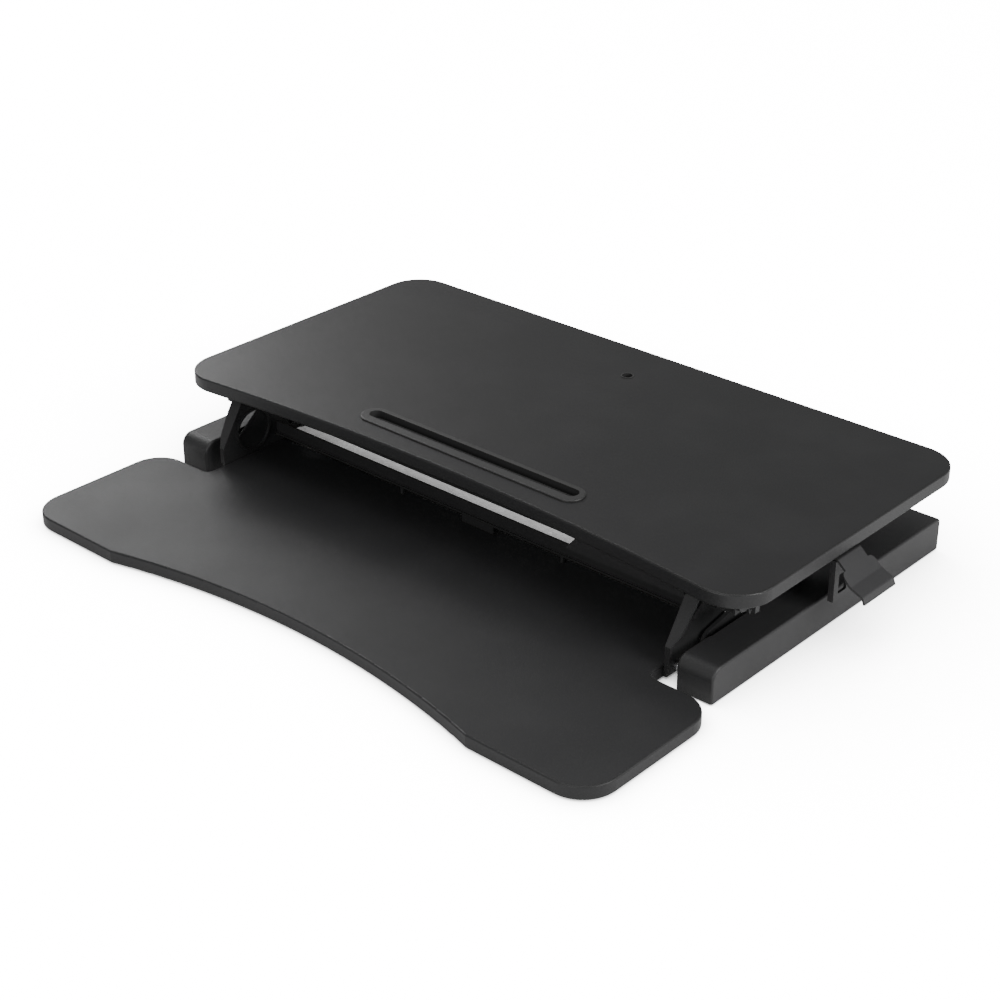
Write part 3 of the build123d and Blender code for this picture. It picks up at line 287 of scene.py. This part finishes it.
def drawn_metal() -> ShaderGroup:
    """Fine drawn lines and a patchy plating tone, as on zinc-plated pins and rods.

    Returns:
        The group, with outputs Colour, Roughness and Height.
    """
    group = ShaderGroup(
        "drawn_metal",
        {"Scale": 350.0},
        ("Colour", "Tarnish Colour"),
        {"Colour": "NodeSocketColor", "Roughness": "NodeSocketFloat", "Height": "NodeSocketFloat"},
    )
    stretch = group.node("ShaderNodeMapping")
    stretch.inputs["Scale"].default_value = (0.04, 1.0, 1.0)
    group.join(group.place, stretch.inputs["Vector"])
    lines = group.noise(group.inputs.outputs["Scale"], 4.0, stretch.outputs["Vector"])
    patches = group.noise(60.0, 5.0)
    tarnish = group.band(patches, 0.4, 0.7, (0.0, 0.6))
    colour = group.mix(tarnish, group.inputs.outputs["Colour"], group.inputs.outputs["Tarnish Colour"])
    group.join(colour, group.outputs.inputs["Colour"])
    group.join(group.band(patches, 0.3, 0.7, (0.25, 0.42)), group.outputs.inputs["Roughness"])
    group.join(lines, group.outputs.inputs["Height"])
    return group


def settled_dust() -> ShaderGroup:
    """Light dust on upward faces, thicker in soft patches.

    Returns:
        The group, with output Mask.
    """
    group = ShaderGroup("settled_dust", {"Amount": 0.1}, (), {"Mask": "NodeSocketFloat"})
    facing = group.node("ShaderNodeSeparateXYZ")
    group.join(group.node("ShaderNodeNewGeometry").outputs["Normal"], facing.inputs[0])
    upward = group.band(facing.outputs["Z"], 0.5, 1.0)
    patches = group.band(group.noise(14.0, 6.0), 0.42, 0.7)
    specks = group.band(group.noise(1400.0, 2.0), 0.6, 0.72)
    both = group.combine("MULTIPLY", group.combine("MAXIMUM", patches, specks), upward)
    group.join(group.combine("MULTIPLY", both, group.inputs.outputs["Amount"]), group.outputs.inputs["Mask"])
    return group


@dataclass
class Workshop:
    """The shader groups that the finishes share."""

    skin: ShaderGroup
    metal: ShaderGroup
    dust: ShaderGroup


@dataclass(frozen=True)
class Finish:
    """A finish of one of the converter's materials.

    Args:
        name: name of the material.
        colour: main colour.
        second: fleck or tarnish colour.
        grain: scale of the texture.
        relief: depth of the bump, 0 to 1.
        gloss: roughness at its lowest and highest.
        mottle: strength of the colour variation.
        dust: amount of dust on upward faces.
        metallic: 1 for bare metal.
        specular: specular level of the coat.
    """

    name: str
    colour: Colour
    second: Colour
    grain: Grain
    relief: float = 0.2
    gloss: tuple[float, float] = (0.4, 0.55)
    mottle: float = 0.35
    dust: float = 0.05
    metallic: float = 0.0
    specular: float = 0.5

    def make(self, shop: Workshop) -> bpy.types.Material:
        """Build the material.

        Args:
            shop: the shared shader groups.

        Returns:
            The finished material.
        """
        material = bpy.data.materials.new(self.name)
        material.use_nodes = True
        tree = material.node_tree
        shader = tree.nodes["Principled BSDF"]
        shader.inputs["Metallic"].default_value = self.metallic
        shader.inputs["Specular IOR Level"].default_value = self.specular
        bare = self.metallic > 0.5
        texture = tree.nodes.new("ShaderNodeGroup")
        texture.node_tree = shop.metal.tree if bare else shop.skin.tree
        texture.inputs["Scale"].default_value = self.grain.value
        texture.inputs["Colour"].default_value = self.colour
        texture.inputs["Tarnish Colour" if bare else "Fleck Colour"].default_value = self.second
        if not bare:
            texture.inputs["Mottle"].default_value = self.mottle
            texture.inputs["Gloss Low"].default_value = self.gloss[0]
            texture.inputs["Gloss High"].default_value = self.gloss[1]
        dust = tree.nodes.new("ShaderNodeGroup")
        dust.node_tree = shop.dust.tree
        dust.inputs["Amount"].default_value = self.dust
        over = tree.nodes.new("ShaderNodeMix")
        over.data_type = "RGBA"
        over.inputs[MIX_SECOND].default_value = grey(DUST_GREY)
        tree.links.new(dust.outputs["Mask"], over.inputs["Factor"])
        tree.links.new(texture.outputs["Colour"], over.inputs[MIX_FIRST])
        tree.links.new(over.outputs[MIX_RESULT], shader.inputs["Base Color"])
        tree.links.new(texture.outputs["Roughness"], shader.inputs["Roughness"])
        bump = tree.nodes.new("ShaderNodeBump")
        bump.inputs["Strength"].default_value = self.relief
        bump.inputs["Distance"].default_value = BUMP_DEPTH
        tree.links.new(texture.outputs["Height"], bump.inputs["Height"])
        tree.links.new(bump.outputs["Normal"], shader.inputs["Normal"])
        return material


FINISHES = {
    "board_finish": Finish(
        name="board_laminate",
        colour=grey(0.009, 0.05),
        second=grey(0.014),
        grain=Grain.LAMINATE,
        relief=0.2,
        gloss=(0.4, 0.47),
        mottle=0.3,
        dust=0.008,
        specular=0.36,
    ),
    "tray_finish": Finish(
        name="tray_laminate",
        colour=grey(0.016, 0.04),
        second=grey(0.023),
        grain=Grain.LAMINATE,
        relief=0.2,
        gloss=(0.43, 0.5),
        mottle=0.3,
        dust=0.008,
        specular=0.24,
    ),
    "black_plastic": Finish(
        name="groove_plastic",
        colour=grey(0.022),
        second=grey(0.032),
        grain=Grain.MOULDED,
        relief=0.12,
        gloss=(0.38, 0.5),
        mottle=0.3,
        dust=0.005,
        specular=0.35,
    ),
    "rail_plastic": Finish(
        name="rail_plastic",
        colour=grey(0.014, 0.04),
        second=grey(0.022),
        grain=Grain.MOULDED,
        relief=0.2,
        gloss=(0.45, 0.58),
        mottle=0.3,
        dust=0.01,
        specular=0.4,
    ),
    "foot_rubber": Finish(
        name="foot_rubber",
        colour=grey(0.022),
        second=grey(0.034),
        grain=Grain.RUBBER,
        relief=0.3,
        gloss=(0.7, 0.85),
    ),
    "roller_plastic": Finish(
        name="roller_acetal",
        colour=grey(0.45),
        second=grey(0.55),
        grain=Grain.MOULDED,
        relief=0.1,
        gloss=(0.3, 0.45),
    ),
    "zinc_steel": Finish(
        name="zinc_plate",
        colour=grey(0.55, 0.03),
        second=grey(0.38),
        grain=Grain.BRUSHED,
        relief=0.12,
        metallic=1.0,
    ),
    "bearing_plastic": Finish(
        name="bearing_nylon",
        colour=grey(0.009),
        second=grey(0.015),
        grain=Grain.MOULDED,
        relief=0.1,
        gloss=(0.5, 0.65),
        specular=0.25,
    ),
    "spring_paint": Finish(
        name="spring_gloss_paint",
        colour=grey(0.012),
        second=grey(0.02),
        grain=Grain.POWDER,
        relief=0.05,
        gloss=(0.18, 0.28),
    ),
    "lever_paint": Finish(
        name="lever_satin_paint",
        colour=grey(0.02, 0.04),
        second=grey(0.03),
        grain=Grain.POWDER,
        relief=0.15,
        gloss=(0.38, 0.48),
        mottle=0.3,
        dust=0.01,
        specular=0.45,
    ),
    "steel_paint": Finish(
        name="powder_coat",
        colour=grey(0.015, 0.03),
        second=grey(0.023),
        grain=Grain.POWDER,
        relief=0.2,
        gloss=(0.42, 0.54),
        mottle=0.3,
        dust=0.01,
        specular=0.4,
    ),
}


class Palette:
    """The finished materials, by the record's slot."""

    def __init__(self) -> None:
        """Build the groups and every material."""
        shop = Workshop(pebbled_skin(), drawn_metal(), settled_dust())
        self.materials = {slot: finish.make(shop) for slot, finish in FINISHES.items()}

    def dress_nodes(self) -> None:
        """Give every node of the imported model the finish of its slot."""
        for part in frame["record"]["subparts"]:
            node = frame["nodes"][part["node"]]
            for slot in node.material_slots:
                slot.material = self.materials[part["material_slot"]]

    def dress(self, piece: bpy.types.Object, slot: str) -> None:
        """Give a new piece its finish.

        Args:
            piece: the piece.
            slot: the record's slot that it takes its finish from.
        """
        piece.data.materials.clear()
        piece.data.materials.append(self.materials[slot])


# ------------------------------------------------------------------ modelling helpers
def pick_faces(piece: bpy.types.Object, wanted: Callable[[bpy.types.MeshPolygon], bool]) -> None:
    """Select only the wanted faces and enter edit mode.

    Args:
        piece: the active piece, in object mode.
        wanted: says whether a face is to be selected.
    """
    bpy.context.tool_settings.mesh_select_mode = (False, False, True)
    for group in (piece.data.vertices, piece.data.edges, piece.data.polygons):
        for item in group:
            item.select = False
    for face in piece.data.polygons:
        face.select = wanted(face)
    bpy.ops.object.mode_set(mode="EDIT")


def settle(piece: bpy.types.Object, spot: Point, facing: Point, rounding: float) -> bpy.types.Object:
    """Round a piece's edges, turn its +Z to face a way and put it in place.

    Args:
        piece: the active piece, made at the origin.
        spot: where its origin goes.
        facing: direction its +Z points in.
        rounding: width of the edge rounding.

    Returns:
        The piece, at the origin with its place in its mesh.
    """
    edge = piece.modifiers.new("edge_rounding", "BEVEL")
    edge.width = rounding
    edge.segments = 2
    edge.limit_method = "ANGLE"
    bpy.ops.object.modifier_apply(modifier=edge.name)
    piece.rotation_euler = Vector(facing).to_track_quat("Z", "Y").to_euler()
    piece.location = spot
    bpy.ops.object.transform_apply(location=True, rotation=True, scale=True)
    bpy.ops.object.shade_smooth_by_angle(angle=math.radians(SMOOTH_ANGLE))
    return piece


def socket_head(
    name: str,
    spot: Point,
    facing: Point,
    radius: float,
    height: float,
    sides: int = 24,
) -> bpy.types.Object:
    """Screw head with a sunk socket, or a nut with six sides.

    Args:
        name: name of the piece.
        spot: middle of its seat.
        facing: direction it points in.
        radius: its outer radius.
        height: its height.
        sides: number of sides.

    Returns:
        The piece.
    """
    bpy.ops.object.select_all(action="DESELECT")
    bpy.ops.mesh.primitive_cylinder_add(
        vertices=sides, radius=radius, depth=height, location=(0, 0, height / 2)
    )
    piece = bpy.context.active_object
    piece.name = name
    pick_faces(piece, lambda face: face.normal.z > UPWARD)
    bpy.ops.mesh.inset(thickness=radius * 0.12)
    bpy.ops.transform.translate(value=(0, 0, height * 0.12))
    bpy.ops.mesh.inset(thickness=radius * 0.35)
    bpy.ops.mesh.extrude_region_move(TRANSFORM_OT_translate={"value": (0, 0, -height * 0.7)})
    bpy.ops.object.mode_set(mode="OBJECT")
    return settle(piece, spot, facing, radius * 0.06)


def tube_plug(name: str, spot: Point, facing: Point, radius: float, length: float) -> bpy.types.Object:
    """Domed plug that closes the end of a tube.

    Args:
        name: name of the piece.
        spot: middle of the tube's end face.
        facing: direction out of the tube.
        radius: the tube's inner radius.
        length: how far the plug goes in.

    Returns:
        The piece.
    """
    bpy.ops.object.select_all(action="DESELECT")
    bpy.ops.mesh.primitive_cylinder_add(
        vertices=PLUG_SIDES, radius=radius, depth=length, location=(0, 0, -length / 2)
    )
    piece = bpy.context.active_object
    piece.name = name
    pick_faces(piece, lambda face: face.normal.z > UPWARD)
    for step in range(3):
        bpy.ops.mesh.inset(thickness=radius * 0.18)
        bpy.ops.transform.translate(value=(0, 0, radius * 0.03 * (3 - step)))
    bpy.ops.mesh.extrude_region_move(TRANSFORM_OT_translate={"value": (0, 0, -radius * 0.2)})
    bpy.ops.object.mode_set(mode="OBJECT")
    return settle(piece, spot, facing, radius * 0.05)


def ribbed_strip(name: str, low: Point, high: Point, ribs: int) -> bpy.types.Object:
    """Flat strip with fine ribs across it.

    Args:
        name: name of the piece.
        low: its lowest corner.
        high: its highest corner.
        ribs: number of cuts along its length.

    Returns:
        The piece.
    """
    bpy.ops.object.select_all(action="DESELECT")
    middle = tuple((a + b) / 2 for a, b in zip(low, high))
    bpy.ops.mesh.primitive_grid_add(x_subdivisions=ribs, y_subdivisions=1, size=1.0)
    piece = bpy.context.active_object
    piece.name = name
    piece.scale = (high[0] - low[0], high[1] - low[1], 1.0)
    piece.location = (middle[0], middle[1], low[2])
    bpy.ops.object.transform_apply(location=True, rotation=True, scale=True)
    pick_faces(piece, lambda face: True)
    bpy.ops.mesh.extrude_region_move(TRANSFORM_OT_translate={"value": (0, 0, (high[2] - low[2]) * 0.5)})
    bpy.ops.object.mode_set(mode="OBJECT")
    pitch = (high[0] - low[0]) / ribs
    top = (low[2] + high[2]) / 2
    pick_faces(
        piece,
        lambda face: face.normal.z > UPWARD
        and face.center.z > top - TOUCH
        and int((face.center.x - low[0]) / pitch) % 2 == 0,
    )
    bpy.ops.mesh.extrude_region_move(TRANSFORM_OT_translate={"value": (0, 0, (high[2] - low[2]) * 0.5)})
    bpy.ops.mesh.select_all(action="SELECT")
    bpy.ops.mesh.normals_make_consistent(inside=False)
    bpy.ops.object.mode_set(mode="OBJECT")
    return piece


def end_of(low: Point, high: Point, side: Side, sunk: float = 0.0) -> Point:
    """Middle of the end face of a tube or shaft that lies along X and is the same on both sides.

    Args:
        low: lowest corner of its box.
        high: highest corner of its box.
        side: which end.
        sunk: how far inside the end the spot is.

    Returns:
        The spot.
    """
    return (side.value * (high[0] - sunk), (low[1] + high[1]) / 2, (low[2] + high[2]) / 2)


# ------------------------------------------------------------------ sub-assemblies
@dataclass
class WorkSurface:
    """The board with its tablet groove.

    Args:
        rib_count: ribs along the soft strip in the groove.
        strip_width: width of the strip.
        strip_height: height of the strip above the groove's floor.
        floor: height of the groove's floor above the insert's underside.
        groove_offset: how far the groove lies behind the insert's middle.
        end_margin: from the insert's end to the strip's end.
    """

    rib_count: int = 141
    strip_width: float = 0.010
    strip_height: float = 0.0012
    floor: float = 0.002
    groove_offset: float = 0.003
    end_margin: float = 0.0155

    def build(self, palette: Palette) -> list[bpy.types.Object]:
        """Lay the ribbed strip in the groove.

        Args:
            palette: the finishes.

        Returns:
            The pieces made.
        """
        low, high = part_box("tablet_slot")
        middle = (low[1] + high[1]) / 2 + self.groove_offset
        bottom = low[2] + self.floor
        strip = ribbed_strip(
            "groove_strip",
            (low[0] + self.end_margin, middle - self.strip_width / 2, bottom),
            (high[0] - self.end_margin, middle + self.strip_width / 2, bottom + self.strip_height),
            self.rib_count,
        )
        palette.dress(strip, "foot_rubber")
        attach(strip, "platform")
        return [strip]


@dataclass
class TrayHanging:
    """Screws that hold the tray in its hangers.

    Args:
        head_radius: radius of a screw head.
        head_height: height of a screw head.
        edge_gap: from the edge of the screws' box to a screw's axis.
    """

    head_radius: float = 0.0028
    head_height: float = 0.0009
    edge_gap: float = 0.0045

    def build(self, palette: Palette) -> list[bpy.types.Object]:
        """Add the sockets of the tray's side screws.

        Args:
            palette: the finishes.

        Returns:
            The pieces made.
        """
        made = []
        low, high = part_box("tray_screws")
        for side in Side:
            for end, y in (("front", low[1] + self.edge_gap), ("rear", high[1] - self.edge_gap)):
                head = socket_head(
                    f"tray_screw_socket_{end}_{side.name.lower()}",
                    (side.value * high[0], y, (low[2] + high[2]) / 2),
                    (side.value, 0, 0),
                    self.head_radius,
                    self.head_height,
                )
                palette.dress(head, "zinc_steel")
                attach(head, "platform")
                made.append(head)
        return made


@dataclass
class ScissorLift:
    """Tube plugs and nuts of the lift.

    Args:
        nut_radius: radius of the nuts on the synchro shaft's ends.
        nut_height: height of those nuts.
        tube_bore: inner radius of the cross tubes.
        plug_recess: how far a plug's rim sits inside its tube, so that its dome stays inside too.
        plug_length: how far a plug goes into its tube.
        nut_sides: sides of a nut.
    """

    nut_radius: float = 0.0055
    nut_height: float = 0.0014
    tube_bore: float = 0.0083
    plug_recess: float = 0.002
    plug_length: float = 0.006
    nut_sides: int = 6

    def build(self, palette: Palette) -> list[bpy.types.Object]:
        """Close the tubes and the shaft.

        Args:
            palette: the finishes.

        Returns:
            The pieces made.
        """
        made = []
        for node, body in (("inner_cross_tube", "inner_arms"), ("outer_cross_tube", "outer_arms")):
            low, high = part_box(node)
            for side in Side:
                plug = tube_plug(
                    f"{node}_plug_{side.name.lower()}",
                    end_of(low, high, side, self.plug_recess),
                    (side.value, 0, 0),
                    self.tube_bore,
                    self.plug_length,
                )
                palette.dress(plug, "black_plastic")
                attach(plug, body)
                made.append(plug)
        low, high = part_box("synchro_shaft")
        for side in Side:
            nut = socket_head(
                f"shaft_nut_{side.name.lower()}",
                end_of(low, high, side),
                (side.value, 0, 0),
                self.nut_radius,
                self.nut_height,
                self.nut_sides,
            )
            palette.dress(nut, "steel_paint")
            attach(nut, "outer_arms")
            made.append(nut)
        return made


@dataclass
class Studio:
    """Pale floor, soft lights and the camera.

    Args:
        camera_spot: where the camera stands.
        camera_tilt: its rotation, in degrees.
        lens: its focal length in millimetres.
        seen_glow: glow of the floor as it is seen.
        floor_glow: light that the floor gives the object.
        air: strength of the light all round.
        shade_reach: how far round the object its painted shade reaches on the floor.
    """

    camera_spot: Point = (1.2948, -1.4258, 1.0645)
    camera_tilt: Point = (62.12, 0.0, 41.79)
    lens: float = 72.0
    seen_glow: float = 15.0
    floor_glow: float = 0.12
    air: float = 0.4
    shade_reach: float = 0.3

    def camera(self) -> None:
        """Make the camera and choose it."""
        data = bpy.data.cameras.new("studio_camera")
        data.lens = self.lens
        data.sensor_width = 36.0
        camera = bpy.data.objects.new("studio_camera", data)
        camera.location = self.camera_spot
        camera.rotation_euler = tuple(math.radians(angle) for angle in self.camera_tilt)
        bpy.context.scene.collection.objects.link(camera)
        bpy.context.scene.camera = camera

    def light(
        self,
        name: str,
        spot: Point,
        aim: Point,
        size: tuple[float, float],
        watts: float,
    ) -> None:
        """Soft rectangular light.

        Args:
            name: name of the light.
            spot: where it hangs.
            aim: point it shines at.
            size: its width and height.
            watts: its power.
        """
        data = bpy.data.lights.new(name, "AREA")
        data.shape = "RECTANGLE"
        data.size, data.size_y = size
        data.energy = watts
        lamp = bpy.data.objects.new(name, data)
        lamp.location = spot
        lamp.rotation_euler = (Vector(aim) - Vector(spot)).to_track_quat("-Z", "Y").to_euler()
        bpy.context.scene.collection.objects.link(lamp)

    def floor(self) -> None:
        """Lay the pale floor and set the pale surroundings; the floor's glow as the camera sees it is
        darkened round and under the object by ambient occlusion, a painted shade.
        """
        bpy.ops.object.select_all(action="DESELECT")
        bpy.ops.mesh.primitive_plane_add(size=30.0)
        ground = bpy.context.active_object
        ground.name = "studio_floor"
        material = bpy.data.materials.new("studio_floor_paint")
        material.use_nodes = True
        tree = material.node_tree
        shader = tree.nodes["Principled BSDF"]
        shader.inputs["Base Color"].default_value = grey(0.9)
        shader.inputs["Roughness"].default_value = 0.9
        shader.inputs["Specular IOR Level"].default_value = 0.1
        shader.inputs["Emission Color"].default_value = grey(1.0)
        seen = tree.nodes.new("ShaderNodeLightPath").outputs["Is Camera Ray"]
        # painted shade: ambient occlusion darkens the floor's camera-seen glow round and under the object
        painted_shade_ao = tree.nodes.new("ShaderNodeAmbientOcclusion")
        painted_shade_ao.inputs["Distance"].default_value = self.shade_reach
        painted_shade_falloff = tree.nodes.new("ShaderNodeMath")
        painted_shade_falloff.operation = "POWER"
        painted_shade_falloff.inputs[1].default_value = 1.6
        seen_with_painted_shade = tree.nodes.new("ShaderNodeMath")
        seen_with_painted_shade.operation = "MULTIPLY"
        glow = tree.nodes.new("ShaderNodeMath")
        glow.operation = "MULTIPLY_ADD"
        glow.inputs[1].default_value = self.seen_glow
        glow.inputs[2].default_value = self.floor_glow
        tree.links.new(painted_shade_ao.outputs["AO"], painted_shade_falloff.inputs[0])
        tree.links.new(seen, seen_with_painted_shade.inputs[0])
        tree.links.new(painted_shade_falloff.outputs[0], seen_with_painted_shade.inputs[1])
        tree.links.new(seen_with_painted_shade.outputs[0], glow.inputs[0])
        tree.links.new(glow.outputs[0], shader.inputs["Emission Strength"])
        ground.data.materials.append(material)
        world = bpy.data.worlds.new("studio_air")
        world.use_nodes = True
        world.node_tree.nodes["Background"].inputs["Color"].default_value = grey(0.9)
        world.node_tree.nodes["Background"].inputs["Strength"].default_value = self.air
        bpy.context.scene.world = world

    def build(self) -> None:
        """Set up the whole studio."""
        self.camera()
        self.floor()
        self.light("left_softbox", (-3.2, 1.1, 1.9), (-0.2, 0, 0.1), (1.8, 1.4), 62.0)
        self.light("right_softbox", (2.8, 0.4, 1.6), (0.4, 0, 0.05), (1.4, 0.8), 95.0)
        self.light("top_softbox", (0.2, -0.4, 3.4), (0, 0, 0), (2.2, 2.2), 40.0)
        self.light("front_fill", (0.7, -2.5, 1.1), (0, -0.1, 0.06), (1.6, 0.8), 28.0)


def main() -> None:
    """Build the studio and the pieces, and report each one."""
    logging.basicConfig(level=logging.INFO)
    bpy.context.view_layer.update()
    Studio().build()
    palette = Palette()
    palette.dress_nodes()
    for assembly in (WorkSurface(), TrayHanging(), ScissorLift()):
        for piece in assembly.build(palette):
            LOG.info("%s made %s", type(assembly).__name__, piece.name)


if __name__ == "__main__":
    main()
